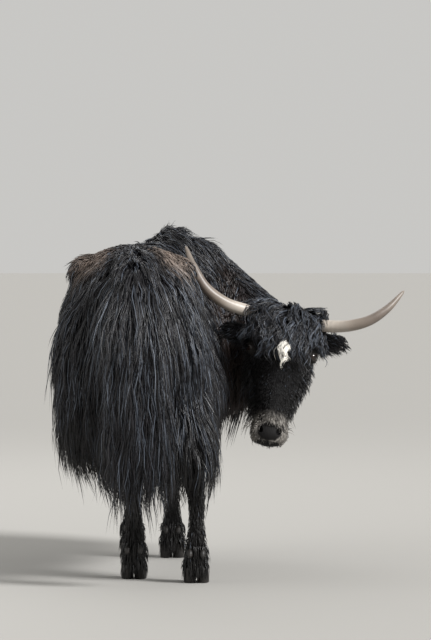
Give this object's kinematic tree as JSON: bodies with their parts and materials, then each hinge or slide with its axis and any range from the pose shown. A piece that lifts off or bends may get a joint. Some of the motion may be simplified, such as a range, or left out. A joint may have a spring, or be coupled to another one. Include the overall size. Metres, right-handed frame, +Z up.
{
  "type": "yak",
  "caption": "Standing domestic yak cow, life size, long skirt of hair, fan tail, neck turned back to its right, head hung low, upswept horns.",
  "frame": {"origin": "on the floor, under the middle of the box round the whole animal", "axes": "+Y is where the body points, +X is the animal's right, +Z is up"},
  "size_m": [1.218, 1.7072, 1.153],
  "materials": {
    "black_coat": "long black-brown hair in matted locks, soft low sheen",
    "tail_hair": "long loose black hair with a faint blue-grey sheen",
    "leg_hair": "short close black hair",
    "horn": "keratin, light grey-beige, finely ridged at the base, smoother to the tip",
    "hoof": "keratin, near black, dusty",
    "eye": "wet dark brown eye"
  },
  "bodies": {
    "root": {"hindquarters": "black_coat", "barrel": "black_coat", "shoulders": "black_coat", "neck_base": "black_coat", "neck": "black_coat", "head": "black_coat", "tail": "tail_hair", "ear_left": "black_coat", "ear_right": "black_coat", "horn_left": "horn", "horn_right": "horn", "eye_left": "eye", "eye_right": "eye", "leg_hind_left": "leg_hair", "hoof_hind_left_left": "hoof", "dewclaw_hind_left_left": "hoof", "hoof_hind_left_right": "hoof", "dewclaw_hind_left_right": "hoof", "leg_hind_right": "leg_hair", "hoof_hind_right_left": "hoof", "dewclaw_hind_right_left": "hoof", "hoof_hind_right_right": "hoof", "dewclaw_hind_right_right": "hoof", "leg_fore_left": "leg_hair", "hoof_fore_left_left": "hoof", "dewclaw_fore_left_left": "hoof", "hoof_fore_left_right": "hoof", "dewclaw_fore_left_right": "hoof", "leg_fore_right": "leg_hair", "hoof_fore_right_left": "hoof", "dewclaw_fore_right_left": "hoof", "hoof_fore_right_right": "hoof", "dewclaw_fore_right_right": "hoof"}
  },
  "joints": []
}
